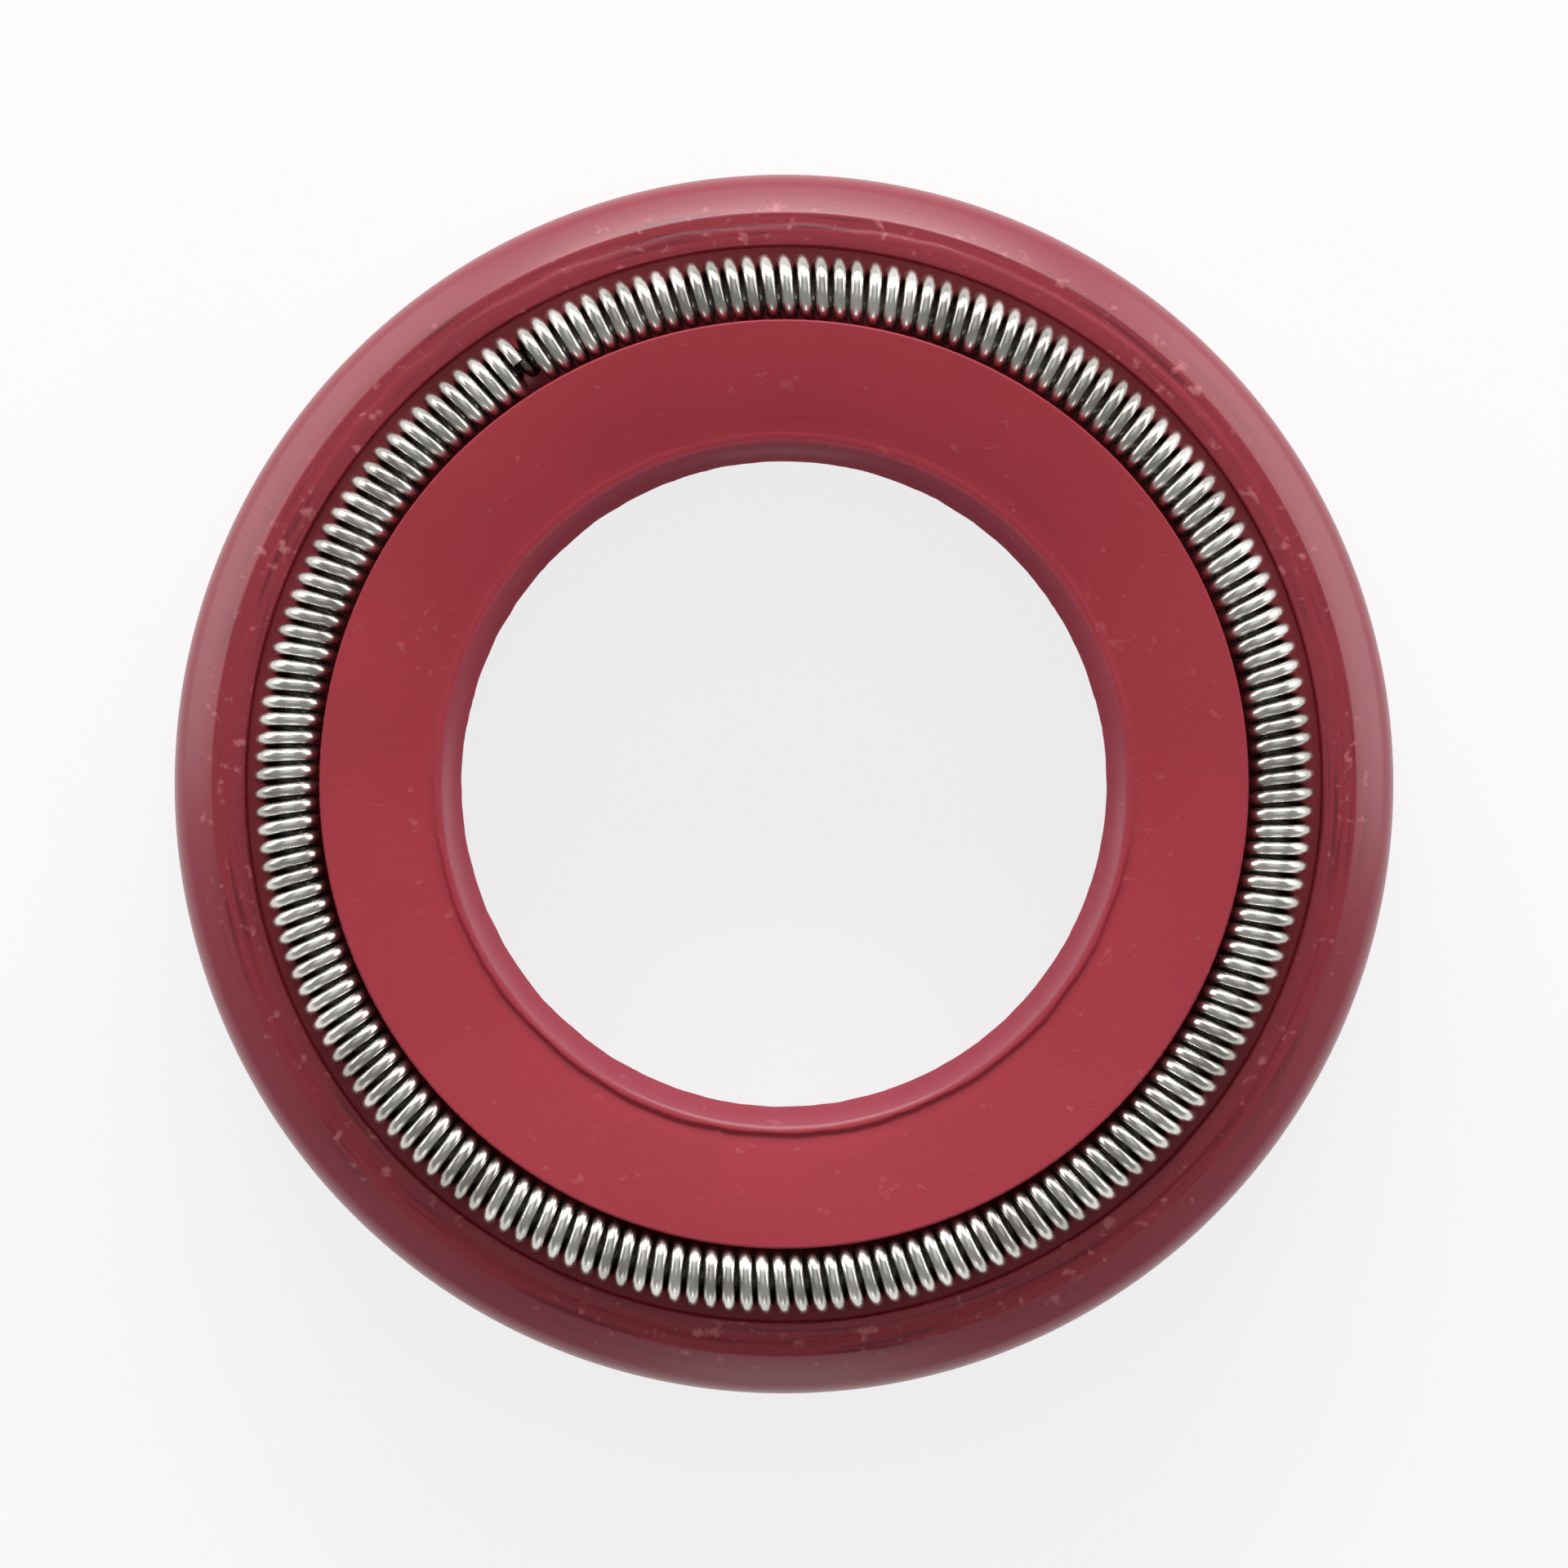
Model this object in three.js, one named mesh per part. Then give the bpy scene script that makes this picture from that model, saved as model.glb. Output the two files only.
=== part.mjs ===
// A lip seal for a valve stem: a moulded rubber body, and the garter spring that lies round its lip.
// Millimetres, +Z up along the stem, with the origin at the centre of the base.

import * as THREE from "three";

// What the seal fits
const stemDiameter = 12;
const guideDiameter = 18;

// Lip and head, from the stem outwards. Widths are those seen from above.
const lipSqueeze = 0.19; // how far the free lip stands inside the stem's surface
const lipFaceWidth = 0.3; // the steep front face, from the sealing edge up to the land
const landWidth = 0.24; // the narrow raised land round the lip, out to the crease
const landRise = 0.06; // the land's outer edge above the crease
const headSlopeWidth = 2.01; // the gentle slope, from the crease to the head's outer side
const headEdgeRound = 0.1;
const headRise = 0.8; // the crest above the ledge
const creaseDrop = 0.45; // below the crest
const lipDrop = 0.8; // the sealing edge, below the crest
const lipBackAngle = 25; // degrees between the stem and the lip's back face
const lipBackDepth = 1.7;

// Ledge, shoulder and outer wall
const ledgeHeight = 6;
const ledgeWidth = 0.6;
const shoulderWidth = 0.7; // the outward slope between the ledge and the wall
const shoulderFlatWidth = 0.47; // its straight part
const shoulderFlatDrop = 0.4;
const shoulderRound = 0.64;
const baseChamfer = 0.4;

// Socket that grips the valve guide
const socketDepth = 3.4;
const socketSqueeze = 0.1; // how far the free wall stands inside the guide's surface
const socketMouthChamfer = 0.3;
const stopWidth = 1.7; // the flat ring that the guide's end comes up against

// Garter spring
const springLift = 0.35; // the coil's middle above the ledge
const coilDiameter = 1.2; // over the wire
const wireDiameter = 0.25;
const turnGap = 0.049; // between turns on the side of the stem
const jointAngle = 122; // degrees from +X, where the two ends meet
const nibTurns = 2.5; // narrow turns that are screwed into the open end
const nibClearance = 0.03;

// Groove for the spring
const springClearance = 0.05;
const beadOverhang = 0.06; // how far the head's edge stands out over the groove's inner side
const troughGap = 0.15; // from the coil to the trough's outer wall

// Fineness of the faceted surfaces
const bodySegments = 72;
const edgeSteps = 3;
const shoulderSteps = 4;
const grooveSteps = 7;
const stepsPerTurn = 6;
const wireSides = 4;

const coilRadius = coilDiameter / 2;
const coilMeanRadius = (coilDiameter - wireDiameter) / 2;
const grooveRadius = coilRadius + springClearance;

// Radii, from the stem outwards
const lipRadius = stemDiameter / 2 - lipSqueeze;
const landRadius = lipRadius + lipFaceWidth;
const creaseRadius = landRadius + landWidth;
const headRadius = creaseRadius + headSlopeWidth;
const springRingRadius = headRadius - beadOverhang + grooveRadius; // to the middle of the coil
const troughRadius = springRingRadius + coilRadius + troughGap;
const ledgeRadius = troughRadius + ledgeWidth;
const outerRadius = ledgeRadius + shoulderWidth;
const socketRadius = guideDiameter / 2 - socketSqueeze;
const mouthRadius = socketRadius + socketMouthChamfer;

// Heights
const crestHeight = ledgeHeight + headRise;
const springHeight = ledgeHeight + springLift;

const radians = THREE.MathUtils.degToRad;
const degrees = THREE.MathUtils.radToDeg;

// Points along an arc in the section plane, both ends included. Angles are in degrees, from straight
// outwards.
function arc(centreR, centreZ, radius, from, to, steps) {
  const points = [];
  for (let i = 0; i <= steps; i += 1) {
    const angle = radians(from + ((to - from) * i) / steps);
    points.push([centreR + radius * Math.cos(angle), centreZ + radius * Math.sin(angle)]);
  }
  return points;
}

// Base, outer wall and the rounded shoulder, up to the ledge's crisp edge.
function outerWall() {
  const roundReach = shoulderWidth - shoulderFlatWidth;
  const roundEnd = degrees(Math.acos(1 - roundReach / shoulderRound));
  const roundTop = ledgeHeight - shoulderFlatDrop;
  const centreZ = roundTop - shoulderRound * Math.sin(radians(roundEnd));
  return [
    [mouthRadius, 0],
    [outerRadius - baseChamfer, 0],
    [outerRadius, baseChamfer],
    ...arc(outerRadius - shoulderRound, centreZ, shoulderRound, 0, roundEnd, shoulderSteps),
    [ledgeRadius, ledgeHeight],
  ];
}

// The ledge's inner edge, the trough under the coil, and the groove up to the bead that keeps the coil in.
function springGroove() {
  const beadAngle = degrees(Math.acos((springRingRadius - headRadius) / grooveRadius));
  return [
    [troughRadius, ledgeHeight],
    [troughRadius, springHeight - grooveRadius],
    ...arc(springRingRadius, springHeight, grooveRadius, 270, 180 - beadAngle, grooveSteps),
  ];
}

// The head's rounded edge, its gentle inner slope, the crease with the land inside it, and the lip down to
// the sealing edge and behind it. The land is parallel to the head's slope.
function headAndLip() {
  const creaseHeight = crestHeight - creaseDrop;
  const lipHeight = crestHeight - lipDrop;
  const landDrop = ((landWidth - landRise) * creaseDrop) / headSlopeWidth;
  return [
    ...arc(headRadius - headEdgeRound, crestHeight - headEdgeRound, headEdgeRound, 0, 90, edgeSteps),
    [creaseRadius, creaseHeight],
    [creaseRadius - landRise, creaseHeight + landRise],
    [landRadius, creaseHeight + landRise - landDrop],
    [lipRadius, lipHeight],
    [lipRadius + lipBackDepth * Math.tan(radians(lipBackAngle)), lipHeight - lipBackDepth],
  ];
}

// The stop for the guide's end and the socket's wall, down to its chamfered mouth.
function guideSocket() {
  return [
    [socketRadius - stopWidth, socketDepth],
    [socketRadius, socketDepth],
    [socketRadius, socketMouthChamfer],
  ];
}

function sealBody() {
  const outline = [
    ...outerWall(),
    ...springGroove(),
    ...headAndLip(),
    ...guideSocket(),
    [mouthRadius, 0],
  ];
  const points = outline.map(([r, z]) => new THREE.Vector2(r, z));
  const geometry = new THREE.LatheGeometry(points, bodySegments);
  geometry.rotateX(Math.PI / 2);
  const rubber = new THREE.MeshStandardMaterial({ color: 0x963640, roughness: 0.45, metalness: 0 });
  const mesh = new THREE.Mesh(geometry, rubber);
  mesh.name = "seal_body";
  return mesh;
}

// The wire of the spring: a right-handed coil bent round into a ring. Its last turns narrow to a nib,
// which lies inside the first turns.
class GarterWire extends THREE.Curve {
  constructor() {
    super();
    const innerPath = 2 * Math.PI * (springRingRadius - coilMeanRadius);
    this.turnCount = Math.floor(innerPath / (wireDiameter + turnGap));
    this.allTurns = this.turnCount + nibTurns;
    this.nibRadius = coilMeanRadius - wireDiameter - nibClearance;
  }

  // Direction from the stem's axis to the coil, at a share of the wire's length.
  outward(share) {
    const angle = radians(jointAngle) + (2 * Math.PI * share * this.allTurns) / this.turnCount;
    return new THREE.Vector3(Math.cos(angle), Math.sin(angle), 0);
  }

  // From the middle of the coil to the middle of the wire.
  offset(share) {
    const turn = share * this.allTurns;
    const narrowing = THREE.MathUtils.smoothstep(turn, this.turnCount - 1, this.turnCount);
    const radius = THREE.MathUtils.lerp(coilMeanRadius, this.nibRadius, narrowing);
    const angle = 2 * Math.PI * turn;
    return this.outward(share).multiplyScalar(Math.sin(angle)).setZ(Math.cos(angle)).multiplyScalar(radius);
  }

  getPoint(share) {
    const coilMiddle = this.outward(share).multiplyScalar(springRingRadius).setZ(springHeight);
    return coilMiddle.add(this.offset(share));
  }

  // Every turn takes the same share of the curve, so the steps need no spacing by length.
  getPointAt(share) {
    return this.getPoint(share);
  }

  // Frames whose normal points away from the middle of the coil.
  computeFrenetFrames(steps) {
    const frames = { tangents: [], normals: [], binormals: [] };
    for (let i = 0; i <= steps; i += 1) {
      const tangent = this.getTangent(i / steps);
      const away = this.offset(i / steps).normalize();
      const binormal = tangent.clone().cross(away).normalize();
      frames.tangents.push(tangent);
      frames.binormals.push(binormal);
      frames.normals.push(binormal.clone().cross(tangent).normalize());
    }
    return frames;
  }
}

// The wire's section: an even polygon of the round wire's area, with a flat side towards the next turn.
function wireSection() {
  const step = (2 * Math.PI) / wireSides;
  const cornerRadius = (wireDiameter / 2) * Math.sqrt(step / Math.sin(step));
  const corners = [];
  for (let i = 0; i < wireSides; i += 1) {
    const angle = step * (i + 0.5);
    corners.push(new THREE.Vector2(Math.cos(angle), Math.sin(angle)).multiplyScalar(cornerRadius));
  }
  return new THREE.Shape(corners);
}

function garterSpring() {
  const wire = new GarterWire();
  const steps = Math.round(wire.allTurns * stepsPerTurn);
  const geometry = new THREE.ExtrudeGeometry(wireSection(), { steps, extrudePath: wire });
  const steel = new THREE.MeshStandardMaterial({ color: 0xc4c0b8, roughness: 0.28, metalness: 1 });
  const mesh = new THREE.Mesh(geometry, steel);
  mesh.name = "garter_spring";
  return mesh;
}

const seal = new THREE.Group();
seal.add(sealBody(), garterSpring());

export default seal;
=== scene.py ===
import math

import bmesh
import bpy
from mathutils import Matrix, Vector, noise


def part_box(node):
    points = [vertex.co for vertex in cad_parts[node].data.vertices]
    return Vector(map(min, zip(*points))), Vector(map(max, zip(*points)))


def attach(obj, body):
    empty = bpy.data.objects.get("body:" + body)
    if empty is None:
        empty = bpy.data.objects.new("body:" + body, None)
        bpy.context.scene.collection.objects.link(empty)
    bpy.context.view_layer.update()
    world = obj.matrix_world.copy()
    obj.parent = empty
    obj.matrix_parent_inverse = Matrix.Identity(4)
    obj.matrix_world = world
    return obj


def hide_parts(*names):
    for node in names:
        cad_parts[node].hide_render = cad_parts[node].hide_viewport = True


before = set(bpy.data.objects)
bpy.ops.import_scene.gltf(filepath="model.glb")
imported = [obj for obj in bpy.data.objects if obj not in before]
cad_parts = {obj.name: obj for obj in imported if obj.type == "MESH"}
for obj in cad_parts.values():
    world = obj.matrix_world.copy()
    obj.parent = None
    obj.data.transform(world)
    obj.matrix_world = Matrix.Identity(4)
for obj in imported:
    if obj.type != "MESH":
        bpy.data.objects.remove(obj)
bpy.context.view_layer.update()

mm = 0.001
weldDistance = 1e-7                   # metres
bodyLow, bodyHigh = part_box("seal_body")


# A socket's value in a material, with arithmetic that adds Math nodes.
class Signal:
    def __init__(self, board, socket):
        self.board = board
        self.socket = socket

    def __add__(self, other):
        return self.board.sum("ADD", self, other)

    __radd__ = __add__

    def __sub__(self, other):
        return self.board.sum("SUBTRACT", self, other)

    def __rsub__(self, other):
        return self.board.sum("SUBTRACT", other, self)

    def __mul__(self, other):
        return self.board.sum("MULTIPLY", self, other)

    __rmul__ = __mul__

    def __truediv__(self, other):
        return self.board.sum("DIVIDE", self, other)

    def __pow__(self, other):
        return self.board.sum("POWER", self, other)


# One material's nodes, with the shader ready at the end.
class Board:
    def __init__(self, name, **plain):
        self.material = bpy.data.materials.new(name)
        self.material.use_nodes = True
        self.nodes = self.material.node_tree.nodes
        self.links = self.material.node_tree.links
        self.shader = self.nodes["Principled BSDF"]
        for socket, value in plain.items():
            self.shader.inputs[socket.replace("_", " ")].default_value = value

    def node(self, kind, settings, sockets, output=0):
        made = self.nodes.new(kind)
        for key, value in settings.items():
            setattr(made, key, value)
        for key, value in sockets.items():
            if isinstance(value, Signal):
                self.links.new(value.socket, made.inputs[key])
            else:
                made.inputs[key].default_value = value
        return Signal(self, made.outputs[output])

    def sum(self, operation, first, second):
        return self.node("ShaderNodeMath", {"operation": operation}, {0: first, 1: second})

    def rise(self, value, low, high):
        # 0 below low, 1 above high, smooth between
        sockets = {"Value": value, "From Min": low, "From Max": high}
        return self.node("ShaderNodeMapRange", {"interpolation_type": "SMOOTHSTEP"}, sockets)

    def blend(self, share, first, second):
        sockets = {0: share, 6: first, 7: second}
        return self.node("ShaderNodeMix", {"data_type": "RGBA"}, sockets, 2)

    def noise(self, place, scale, detail=2):
        return self.node("ShaderNodeTexNoise", {}, {"Vector": place, "Scale": scale, "Detail": detail})

    def placeInMm(self):
        # the whole place, then its x, y and z
        objectPlace = self.node("ShaderNodeTexCoord", {}, {}, "Object")
        place = self.node("ShaderNodeVectorMath", {"operation": "SCALE"}, {0: objectPlace, "Scale": 1 / mm})
        return place, *(self.node("ShaderNodeSeparateXYZ", {}, {0: place}, axis) for axis in range(3))

    def bump(self, height):
        # height in metres
        self.give("Normal", self.node("ShaderNodeBump", {}, {"Strength": 1.0, "Distance": 1.0, "Height": height}))

    def give(self, socket, value):
        self.links.new(value.socket, self.shader.inputs[socket])


def shade(red, green, blue):
    # a colour as read off a screen, 0 to 255, as the shader wants it
    def linear(value):
        value = value / 255
        return value / 12.92 if value < 0.04045 else ((value + 0.055) / 1.055) ** 2.4
    return (linear(red), linear(green), linear(blue), 1)


rubberLook = {
    "main": shade(167, 53, 65),
    "deep": shade(158, 49, 60),
    "wall": shade(138, 43, 60),       # the outer wall and the ledge are darker than the head; the wall's bluer tint is painted cool sheen
    "ledge": shade(140, 45, 56),
    "streak": shade(112, 35, 45),
    "cutFaceAndSheen": shade(142, 60, 80),        # the trimmed lip face is duller, and its paler pink is partly painted sheen
    "fleck": shade(206, 128, 132),
    # how far each colour covers what is under it
    "wallShare": 0.9,
    "ledgeShare": 0.9,
    "cutShare": 0.5,
    "fleckShare": 0.2,
    "fleckOnLedge": 0.3,
    # what the main colour's changes are made of
    "patchTone": 0.55,
    "rayTone": 0.25,
    "lineTone": 0.2,
    "roughness": 0.29,
    "patchRoughness": 0.1,
    "grainRoughness": 0.05,
    "cutRoughness": 0.1,
    "fleckRoughness": 0.1,
    "lowWallRoughness": 0.15,
    "shoulderSheen": 0.6,
    "patchSheen": 0.3,
    "cutSheen": 0.5,
    # millimetres
    "patchSize": 3.5,
    "grainSize": 0.07,
    "grainHeight": 0.0015,
    "lineSpacing": 0.1,
    "lineHeight": 0.002,
    "ledgeLineHeight": 0.006,
    "rayHeight": 0.003,
    "fleckSize": 0.27,
    "fleckHeight": 0.006,
    "crowdSize": 1.6,
    # coarseness of the marks round the ring, and their drift outwards in millimetres
    "lineTurns": 3,
    "lineSlope": 0.4,
    "rayTurns": 55,
    "rayLength": 3,
    # levels of the noises, from none to all
    "patchLevels": (0.32, 0.68),
    "streakLevels": (0.5, 0.36),
    "streakPatches": (0.35, 0.55),
    "fleckLevels": (0.8, 0.96),
    "fleckCrowding": 0.3,
    "fleckLedgeGain": 0.05,
    # where a zone begins and is full, in millimetres from the edge that it is named by
    "fromTrough": (-0.05, 0.05),
    "fromOutside": (-0.2, -0.8),
    "fromLedge": (-0.4, -0.2),
    "fromCrest": (-1.2, -1.0),
    "fromRim": (-0.03, 0.03),
    "fromShoulder": (-1.1, -0.6),
    "fromLand": (0.06, -0.02),
}


def makeRubber():
    look, s = rubberLook, sealShape
    board = Board("sealRubber", IOR=1.45, Specular_IOR_Level=0.35, Coat_IOR=1.5, Coat_Roughness=0.3)
    place, x, y, z = board.placeInMm()
    radius = (x * x + y * y) ** 0.5

    def zone(value, edge, name):
        begins, isFull = look[name]
        return board.rise(value, edge + begins, edge + isFull)

    patches = board.noise(place, 1 / look["patchSize"], 3)
    grain = board.noise(place, 1 / look["grainSize"], 2)
    # flow lines, drawn out round the ring
    linePlace = {0: x / radius * look["lineTurns"], 1: y / radius * look["lineTurns"],
                 2: (radius + look["lineSlope"] * z) / look["lineSpacing"]}
    lines = board.noise(board.node("ShaderNodeCombineXYZ", {}, linePlace), 1.0, 3)
    # faint marks that run out from the hole
    rayPlace = {0: x / radius * look["rayTurns"], 1: y / radius * look["rayTurns"], 2: radius / look["rayLength"]}
    rays = board.noise(board.node("ShaderNodeCombineXYZ", {}, rayPlace), 1.0, 2)

    onTop = zone(z, s["crestHeight"], "fromCrest")
    onLedge = zone(radius, s["troughRadius"], "fromTrough") * zone(radius, s["outerRadius"], "fromOutside")
    onLedge = onLedge * zone(z, s["ledgeHeight"], "fromLedge")
    onWall = zone(radius, s["outerRadius"] - s["shoulderWidth"], "fromRim")
    onShoulder = onWall * zone(z, s["ledgeHeight"], "fromShoulder")
    onLip = zone(radius, s["landRadius"], "fromLand") * onTop

    # dust and mould flecks, most of them on the ledge
    spots = board.noise(place, 1 / look["fleckSize"], 2)
    crowd = board.noise(place, 1 / look["crowdSize"], 2)
    gathered = spots + look["fleckCrowding"] * crowd + look["fleckLedgeGain"] * onLedge
    flecks = board.rise(gathered, *look["fleckLevels"]) * onTop
    streaks = onLedge * board.rise(lines, *look["streakLevels"]) * board.rise(patches, *look["streakPatches"])

    tone = look["patchTone"] * board.rise(patches, *look["patchLevels"]) + look["rayTone"] * rays
    colour = board.blend(tone + look["lineTone"] * lines, look["deep"], look["main"])
    # the wall's colour, its bluer tint a painted cool sheen on the shoulder
    colour = board.blend(look["wallShare"] * onWall, colour, look["wall"])
    colour = board.blend(look["ledgeShare"] * onLedge, colour, look["ledge"])
    colour = board.blend(streaks, colour, look["streak"])
    # the trimmed lip face's colour: duller cut rubber, partly painted sheen
    colour = board.blend(onLip * look["cutShare"], colour, look["cutFaceAndSheen"])
    colour = board.blend(flecks * (look["fleckShare"] + look["fleckOnLedge"] * onLedge), colour, look["fleck"])
    board.give("Base Color", colour)
    roughness = look["roughness"] + look["patchRoughness"] * patches + look["grainRoughness"] * grain
    roughness = roughness + look["cutRoughness"] * onLip + look["fleckRoughness"] * flecks
    board.give("Roughness", roughness + look["lowWallRoughness"] * (onWall - onShoulder))
    sheen = onShoulder * (look["shoulderSheen"] + look["patchSheen"] * patches)
    board.give("Coat Weight", sheen + look["cutSheen"] * onLip)
    height = grain * look["grainHeight"] + rays * look["rayHeight"] + flecks * look["fleckHeight"]
    lineHeight = look["lineHeight"] + look["ledgeLineHeight"] * onLedge
    board.bump((height + lines * lineHeight) * mm)
    return board.material


wireLook = {
    "clean": shade(234, 232, 226),
    "dull": shade(186, 183, 176),
    "inside": shade(112, 109, 105),   # painted shade: the wire is darker on the side turned to the coil's inside, where little light reaches
    "roughness": 0.2,
    "patchRoughness": 0.1,
    "grainRoughness": 0.05,
    "patchLevels": (0.35, 0.65),
    # millimetres
    "patchSize": 1.1,
    "grainSize": 0.03,
    "grainHeight": 0.0012,
    "insideDepths": (0.1, 0.23),      # below the coil's outside, where the painted shade begins and is full
}


def makeSteel():
    look, s = wireLook, springShape
    board = Board("springSteel", Metallic=1.0)
    place, x, y, z = board.placeInMm()
    patches = board.noise(place, 1 / look["patchSize"], 3)
    grain = board.noise(place, 1 / look["grainSize"], 2)
    aside = (x * x + y * y) ** 0.5 - s["ringRadius"]
    above = z - s["ringHeight"]
    fromMiddle = (aside * aside + above * above) ** 0.5
    begins, isFull = (s["coilDiameter"] / 2 - depth for depth in look["insideDepths"])
    colour = board.blend(board.rise(patches, *look["patchLevels"]), look["dull"], look["clean"])
    # painted shade on the coil's inner side, which also darkens the gaps between the turns
    board.give("Base Color", board.blend(board.rise(fromMiddle, begins, isFull), colour, look["inside"]))
    board.give("Roughness", look["roughness"] + look["patchRoughness"] * patches + look["grainRoughness"] * grain)
    board.bump(grain * (look["grainHeight"] * mm))
    return board.material


sealShape = {
    # all in millimetres; radii from the stem's axis, heights from the base
    "outerRadius": bodyHigh.x / mm,
    "crestHeight": bodyHigh.z / mm,
    "ledgeHeight": bodyHigh.z / mm - 0.8,
    "baseChamfer": 0.4,
    "topDepth": 1.2,                  # the moulded top's forms lie within this of the crest
    "shoulderWidth": 0.7,
    "shoulderFlat": (0.47, 0.4),      # width and drop of the shoulder's straight part
    "shoulderRound": 0.64,
    "partingRadius": 10.06,           # the moulding's step on the ledge
    "partingDrop": 0.045,
    "partingHalf": 0.05,              # half the step's width
    "rimDrop": 0.01,                  # from the step's foot down to the rim
    "troughRadius": 9.7,
    "ringRadius": 8.95,               # the spring's middle
    "ringHeight": bodyHigh.z / mm - 0.45,
    "grooveRadius": 0.65,
    "headRadius": 8.36,
    "headEdgeRound": 0.05,
    "creaseRadius": 6.35,
    "creaseDrop": 0.45,
    "creaseDepth": 0.02,
    "creaseDip": 0.3,                 # how far outside the crease the slope begins to dip
    "landRise": 0.06,
    "landRadius": 6.19,
    "lipRadius": 5.81,
    "lipDrop": 0.8,
    "lipEdge": (0.012, 0.014, 0.01),  # the sealing edge's flat: width, rise and drop
    "lipBack": (0.793, 1.7),
    "socketRadius": 8.9,
    "socketDepth": 3.4,
    "stopWidth": 1.7,
    "mouthChamfer": 0.3,
    "spinSteps": 360,
    "sharpAngle": 35,
}

# The trimming took most of the land off on the +Y side.
landTrim = {
    "reach": (0.08, 0.06),            # millimetres inside the land and outside the crease
    "low": 0.1,                       # how much of the land is left on its flattest side
    "middle": 0.45,                   # sine of the angle at which it is all gone, and its spread
    "spread": 0.9,
    "waver": 0.3,
    "coarseness": 5,
    "seed": 4,
}

# The trimmed crease, the lip's edge and the moulding's step aren't quite true circles:
# radius, reach and size in millimetres, coarseness and seed.
waves = [
    (sealShape["creaseRadius"], 0.17, 0.042, 8, 1),
    (sealShape["lipRadius"], 0.12, 0.014, 14, 2),
    (sealShape["partingRadius"], 0.1, 0.05, 11, 3),
]


def arcPoints(middle, radius, start, end, steps):
    points = []
    for step in range(steps + 1):
        angle = math.radians(start + (end - start) * step / steps)
        points.append((middle[0] + radius * math.cos(angle), middle[1] + radius * math.sin(angle)))
    return points


def sealSection():
    s = sealShape
    flatWidth, flatDrop = s["shoulderFlat"]
    roundEnd = math.acos(1 - (s["shoulderWidth"] - flatWidth) / s["shoulderRound"])
    roundMiddle = (s["outerRadius"] - s["shoulderRound"],
                   s["ledgeHeight"] - flatDrop - s["shoulderRound"] * math.sin(roundEnd))
    rimRadius = s["outerRadius"] - s["shoulderWidth"]
    mouth = s["socketRadius"] + s["mouthChamfer"]
    groove = (s["ringRadius"], s["ringHeight"])
    beadAngle = math.degrees(math.acos((s["ringRadius"] - s["headRadius"]) / s["grooveRadius"]))
    crease = (s["creaseRadius"], s["crestHeight"] - s["creaseDrop"])
    lip = (s["lipRadius"], s["crestHeight"] - s["lipDrop"])
    edgeWidth, edgeRise, edgeDrop = s["lipEdge"]
    # each point is radius, height and how far its corner is rounded
    section = [(mouth, 0, 0.03), (s["outerRadius"] - s["baseChamfer"], 0, 0.06),
               (s["outerRadius"], s["baseChamfer"], 0.1)]
    for point in arcPoints(roundMiddle, s["shoulderRound"], 0, math.degrees(roundEnd), 10):
        section.append((*point, 0))
    section += [
        (rimRadius, s["ledgeHeight"] - s["partingDrop"] - s["rimDrop"], 0.035),
        (s["partingRadius"] + s["partingHalf"], s["ledgeHeight"] - s["partingDrop"], 0.03),
        (s["partingRadius"] - s["partingHalf"], s["ledgeHeight"], 0.04),
        (s["troughRadius"], s["ledgeHeight"], 0.05),
        (s["troughRadius"], s["ringHeight"] - s["grooveRadius"], 0.05),
    ]
    for point in arcPoints(groove, s["grooveRadius"], 270, 180 - beadAngle, 16):
        section.append((*point, 0))
    headSlope = s["creaseDrop"] / (s["headRadius"] - s["creaseRadius"])
    landEdge = (crease[0] - s["landRise"], crease[1] + s["landRise"])
    landDrop = (landEdge[0] - s["landRadius"]) * headSlope
    section += [
        (s["headRadius"], s["crestHeight"], s["headEdgeRound"]),
        (crease[0] + s["creaseDip"], crease[1] + s["creaseDip"] * headSlope, 0.12),
        (crease[0], crease[1] - s["creaseDepth"], 0.02),
        (*landEdge, 0.03),
        (s["landRadius"], landEdge[1] - landDrop, 0.06),
        (lip[0] + edgeWidth, lip[1] + edgeRise, 0),
        (lip[0], lip[1] - edgeDrop, 0),
        (lip[0] + s["lipBack"][0], lip[1] - s["lipBack"][1], 0.15),
        (s["socketRadius"] - s["stopWidth"], s["socketDepth"], 0.05),
        (s["socketRadius"], s["socketDepth"], 0.12),
        (s["socketRadius"], s["mouthChamfer"], 0.05),
    ]
    return section


def easeIn(share):
    # 0 to 1, smooth at both ends
    share = min(1, max(0, share))
    return share * share * (3 - 2 * share)


def waver(angle, coarseness, seed):
    # smooth noise round the ring, about -1 to 1
    return noise.noise(Vector((math.cos(angle) * coarseness, math.sin(angle) * coarseness, seed)))


def trimLand(vert, radius, angle):
    s, t = sealShape, landTrim
    if not s["landRadius"] - t["reach"][0] < radius < s["creaseRadius"] + t["reach"][1]:
        return
    headSlope = s["creaseDrop"] / (s["headRadius"] - s["creaseRadius"])
    flush = (s["crestHeight"] - s["creaseDrop"] + (radius - s["creaseRadius"]) * headSlope) * mm
    share = (t["middle"] - math.sin(angle) + t["waver"] * waver(angle, t["coarseness"], t["seed"])) / t["spread"]
    vert.co.z = flush + (vert.co.z - flush) * (t["low"] + (1 - t["low"]) * easeIn(share))


def moveWithWaves(vert, radius, angle):
    for middle, reach, size, coarseness, seed in waves:
        near = max(0, 1 - abs(radius - middle) / reach)
        if near:
            coarse = waver(angle, coarseness, seed)
            fine = waver(angle, coarseness * 4, seed)
            moved = radius + size * near * (coarse + 0.5 * fine)
            vert.co.x *= moved / radius
            vert.co.y *= moved / radius


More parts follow.
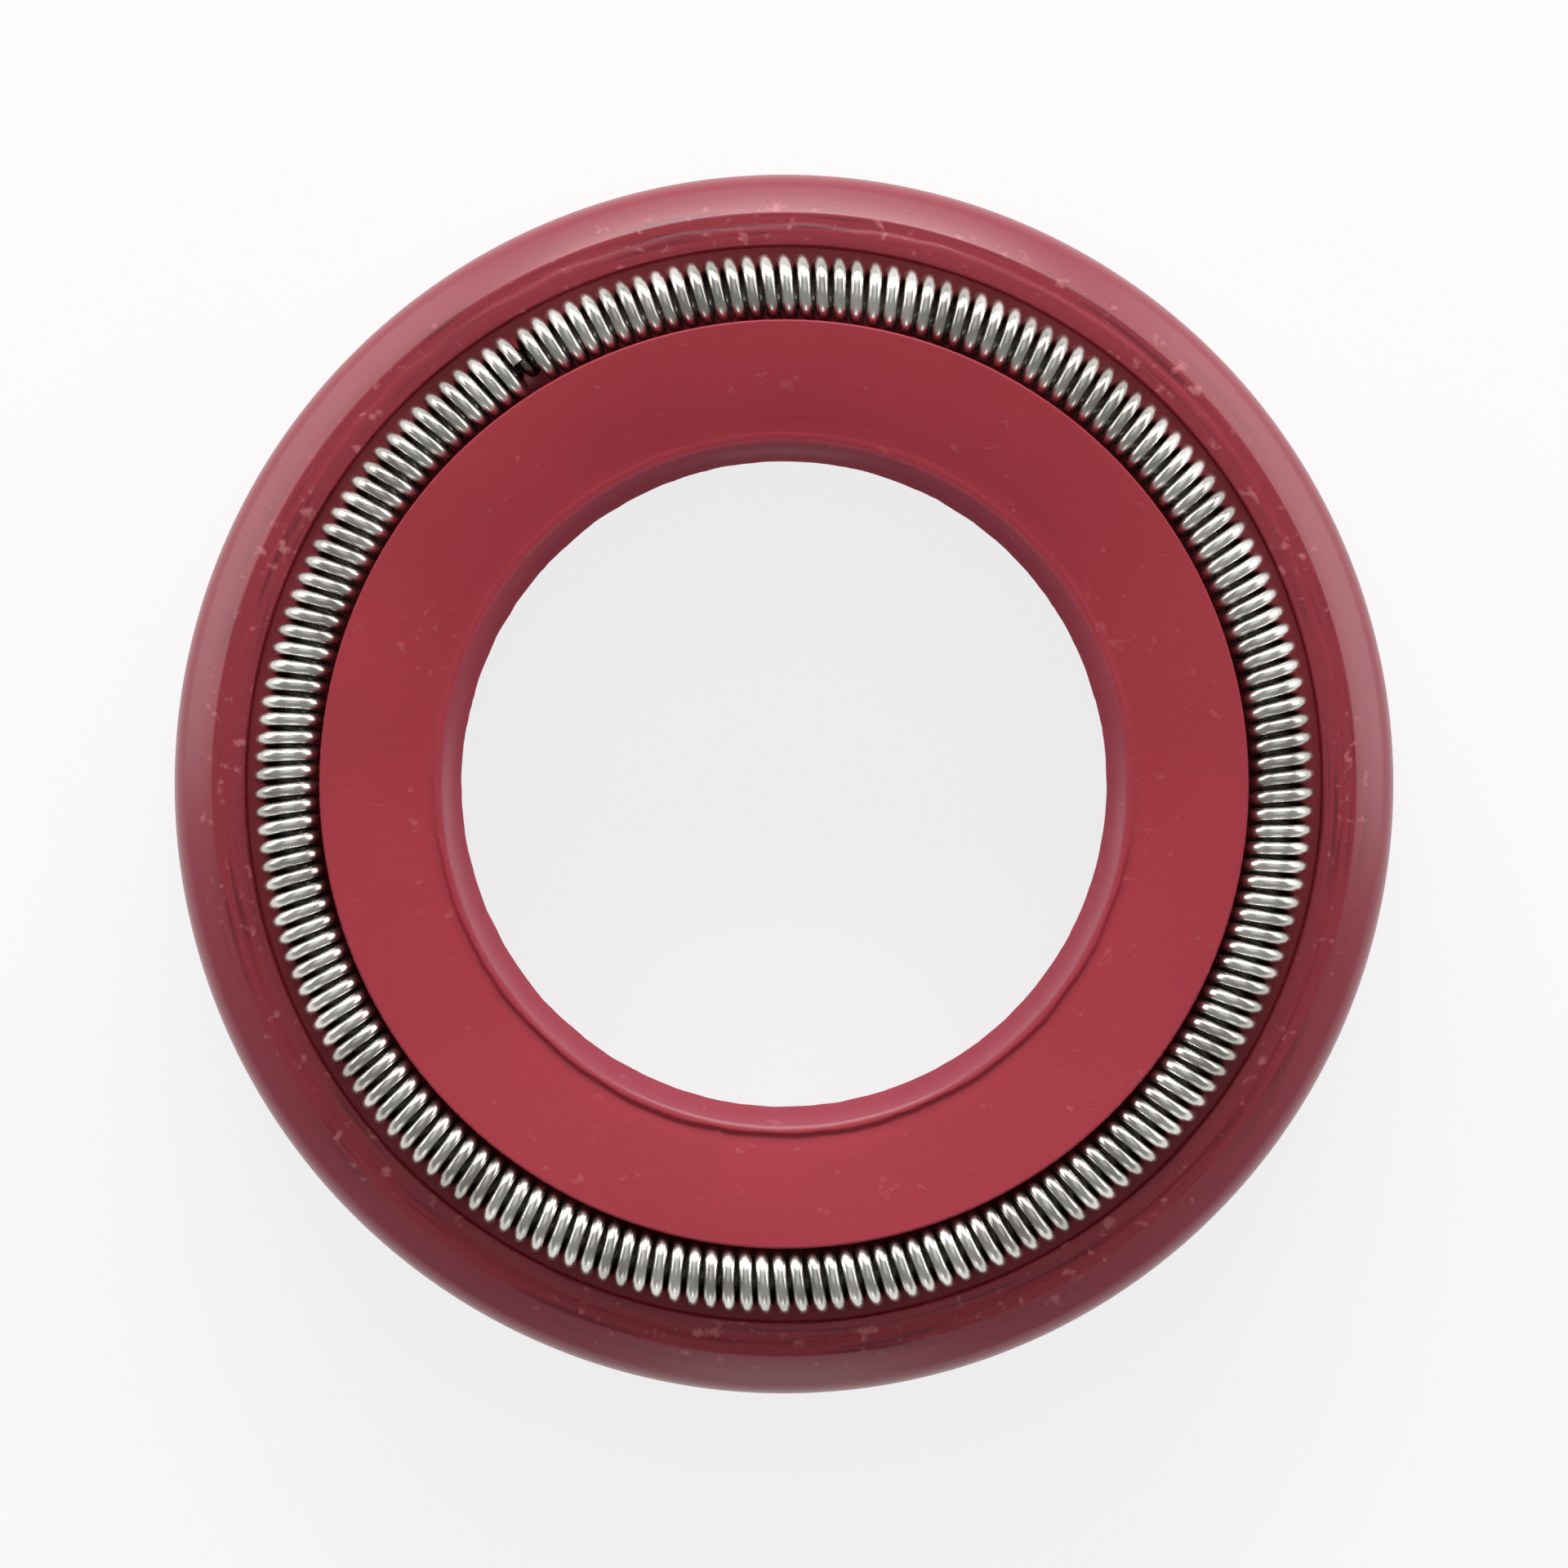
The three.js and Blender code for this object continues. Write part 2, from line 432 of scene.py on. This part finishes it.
def sortFaces(mesh):
    # spin leaves the faces in an order that changes from run to run; no two share three corners
    mesh.verts.index_update()
    count = len(mesh.verts)

    def rank(face):
        lowest, second, third = sorted(vert.index for vert in face.verts)[:3]
        return (lowest * count + second) * count + third

    mesh.faces.sort(key=rank)


def buildSeal():
    s = sealShape
    mesh = bmesh.new()
    corners = []
    for radius, height, corner in sealSection():
        vert = mesh.verts.new((radius * mm, 0, height * mm))
        corners.append((vert, corner))
    for (first, _), (second, _) in zip(corners, corners[1:] + corners[:1]):
        mesh.edges.new((first, second))
    for vert, corner in corners:
        if corner:
            bmesh.ops.bevel(mesh, geom=[vert], offset=corner * mm, offset_type="OFFSET", segments=4,
                            profile=0.5, affect="VERTICES", material=-1)
    bmesh.ops.spin(mesh, geom=mesh.verts[:] + mesh.edges[:], cent=(0, 0, 0), axis=(0, 0, 1),
                   angle=2 * math.pi, steps=s["spinSteps"], use_merge=True)
    bmesh.ops.remove_doubles(mesh, verts=mesh.verts[:], dist=weldDistance)
    bmesh.ops.recalc_face_normals(mesh, faces=mesh.faces[:])
    for vert in mesh.verts:
        if vert.co.z >= (s["crestHeight"] - s["topDepth"]) * mm:
            radius = math.hypot(vert.co.x, vert.co.y) / mm
            angle = math.atan2(vert.co.y, vert.co.x)
            trimLand(vert, radius, angle)
            moveWithWaves(vert, radius, angle)
    sortFaces(mesh)
    data = bpy.data.meshes.new("seal_body_skin")
    mesh.to_mesh(data)
    mesh.free()
    data.shade_smooth()
    data.set_sharp_from_angle(angle=math.radians(s["sharpAngle"]))
    seal = bpy.data.objects.new("seal_rubber_skin", data)
    bpy.context.scene.collection.objects.link(seal)
    seal.data.materials.append(makeRubber())
    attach(seal, "root")
    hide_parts("seal_body")
    print("seal body", len(data.polygons), "faces")


springShape = {
    # millimetres
    "ringRadius": sealShape["ringRadius"],
    "ringHeight": sealShape["ringHeight"],
    "coilDiameter": 1.2,
    "wireDiameter": 0.25,
    "turns": 178,
    "nibTurns": 2.5,
    "nibRadius": 0.195,
    "jointAngle": 122,
    "endGap": 0.08,                   # the two ends stand this much further apart
    "endReach": 3,                    # turns that give way for it, at each end
    "wobble": 0.012,                  # the turns aren't evenly spaced
    "wobbleCoarseness": 0.7,
    "wobbleSeed": 5,
    "stepsPerTurn": 24,
    "sharpAngle": 60,
}


def wirePoint(turn):
    s = springShape
    coil = (s["coilDiameter"] - s["wireDiameter"]) / 2
    radius = coil + (s["nibRadius"] - coil) * easeIn(turn - (s["turns"] - 1))
    spread = s["wobble"] * noise.noise(Vector((turn * s["wobbleCoarseness"], s["wobbleSeed"], 0)))
    parted = math.exp(-turn / s["endReach"]) - math.exp(-abs(turn - s["turns"]) / s["endReach"])
    spread += s["endGap"] / 2 * parted
    around = math.radians(s["jointAngle"]) + 2 * math.pi * turn / s["turns"] + spread / s["ringRadius"]
    over = 2 * math.pi * turn
    out = s["ringRadius"] + radius * math.sin(over)
    up = s["ringHeight"] + radius * math.cos(over)
    return out * math.cos(around) * mm, out * math.sin(around) * mm, up * mm


def buildSpring():
    s = springShape
    steps = round((s["turns"] + s["nibTurns"]) * s["stepsPerTurn"])
    curve = bpy.data.curves.new("garter_wire", "CURVE")
    curve.dimensions = "3D"
    curve.bevel_depth = s["wireDiameter"] / 2 * mm
    curve.bevel_resolution = 3
    curve.use_fill_caps = True
    curve.twist_mode = "MINIMUM"
    path = curve.splines.new("POLY")
    path.points.add(steps)
    for step in range(steps + 1):
        path.points[step].co = (*wirePoint(step / s["stepsPerTurn"]), 1)
    holder = bpy.data.objects.new("garter_wire", curve)
    bpy.context.scene.collection.objects.link(holder)
    bpy.context.view_layer.update()
    data = bpy.data.meshes.new_from_object(holder.evaluated_get(bpy.context.evaluated_depsgraph_get()))
    bpy.data.objects.remove(holder)
    mesh = bmesh.new()
    mesh.from_mesh(data)
    bmesh.ops.remove_doubles(mesh, verts=mesh.verts[:], dist=weldDistance)
    bmesh.ops.recalc_face_normals(mesh, faces=mesh.faces[:])
    mesh.to_mesh(data)
    mesh.free()
    data.shade_smooth()
    data.set_sharp_from_angle(angle=math.radians(s["sharpAngle"]))
    spring = bpy.data.objects.new("garter_spring_wire", data)
    bpy.context.scene.collection.objects.link(spring)
    spring.data.materials.clear()
    spring.data.materials.append(makeSteel())
    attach(spring, "root")
    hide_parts("garter_spring")
    print("spring", len(data.polygons), "faces")


studio = {
    "floorSize": 1.2,
    "floorGap": 0.01 * mm,            # keeps the base's face clear of the floor's
    "floorShade": (0.93, 0.93, 0.93, 1),
    "floorGlow": 0.8,                 # how much of the floor's white is its own to the camera
    "roomStrength": 0.3,
    # name: power, compass, height angle, distance, width and height
    "lamps": {
        "window": (1.1, 90, 31, 0.35, 0.3, 0.14),
        "rightCard": (0.5, 25, 13, 0.35, 0.4, 0.14),
        "leftCard": (0.45, 150, 13, 0.35, 0.38, 0.14),
        "frontCard": (0.07, 270, 11, 0.35, 0.14, 0.1),
        "topCard": (0.3, 90, 80, 0.6, 0.48, 0.48),
    },
    "lens": 600,
    "frameWidth": 28.2 * mm,
    "sensor": 36,
    "nearest": 0.01,
    "farthest": 10,
}


def addLamp(name, power, compass, height, distance, *size):
    lamp = bpy.data.lights.new(name, "AREA")
    lamp.shape = "RECTANGLE"
    lamp.size, lamp.size_y = size
    lamp.energy = power
    holder = bpy.data.objects.new(name, lamp)
    bpy.context.scene.collection.objects.link(holder)
    turn, rise = math.radians(compass), math.radians(height)
    away = Vector((math.cos(turn) * math.cos(rise), math.sin(turn) * math.cos(rise), math.sin(rise)))
    holder.location = away * distance
    holder.rotation_euler = away.to_track_quat("Z", "Y").to_euler()


def buildStudio():
    s = studio
    mesh = bmesh.new()
    bmesh.ops.create_grid(mesh, x_segments=1, y_segments=1, size=s["floorSize"] / 2)
    bmesh.ops.translate(mesh, verts=mesh.verts[:], vec=(0, 0, bodyLow.z - s["floorGap"]))
    data = bpy.data.meshes.new("floor")
    mesh.to_mesh(data)
    mesh.free()
    floor = bpy.data.objects.new("floor", data)
    bpy.context.scene.collection.objects.link(floor)
    paper = Board("palePaper", Base_Color=s["floorShade"], Roughness=0.9, Specular_IOR_Level=0.0)
    seen = paper.node("ShaderNodeLightPath", {}, {}, "Is Camera Ray")
    for ray in ("Is Glossy Ray", "Is Transmission Ray"):
        seen = paper.sum("MAXIMUM", seen, paper.node("ShaderNodeLightPath", {}, {}, ray))
    glow = paper.node("ShaderNodeEmission", {}, {"Color": (1, 1, 1, 1), "Strength": 1.0})
    lit = Signal(paper, paper.shader.outputs[0])
    mixed = paper.node("ShaderNodeMixShader", {}, {0: seen * s["floorGlow"], 1: lit, 2: glow})
    paper.links.new(mixed.socket, paper.nodes["Material Output"].inputs["Surface"])
    floor.data.materials.append(paper.material)

    world = bpy.data.worlds.new("softRoom")
    bpy.context.scene.world = world
    world.use_nodes = True
    world.node_tree.nodes["Background"].inputs["Color"].default_value = (1, 1, 1, 1)
    world.node_tree.nodes["Background"].inputs["Strength"].default_value = s["roomStrength"]
    for name, facts in s["lamps"].items():
        addLamp(name, *facts)

    camera = bpy.data.cameras.new("camera")
    camera.sensor_width = s["sensor"]
    camera.lens = s["lens"]
    camera.clip_start = s["nearest"]
    camera.clip_end = s["farthest"]
    holder = bpy.data.objects.new("camera", camera)
    bpy.context.scene.collection.objects.link(holder)
    holder.location = (0, 0, bodyHigh.z + s["frameWidth"] * s["lens"] / s["sensor"])
    bpy.context.scene.camera = holder
    bpy.context.scene.view_settings.view_transform = "Standard"
    print("studio and camera")


buildSeal()
buildSpring()
buildStudio()
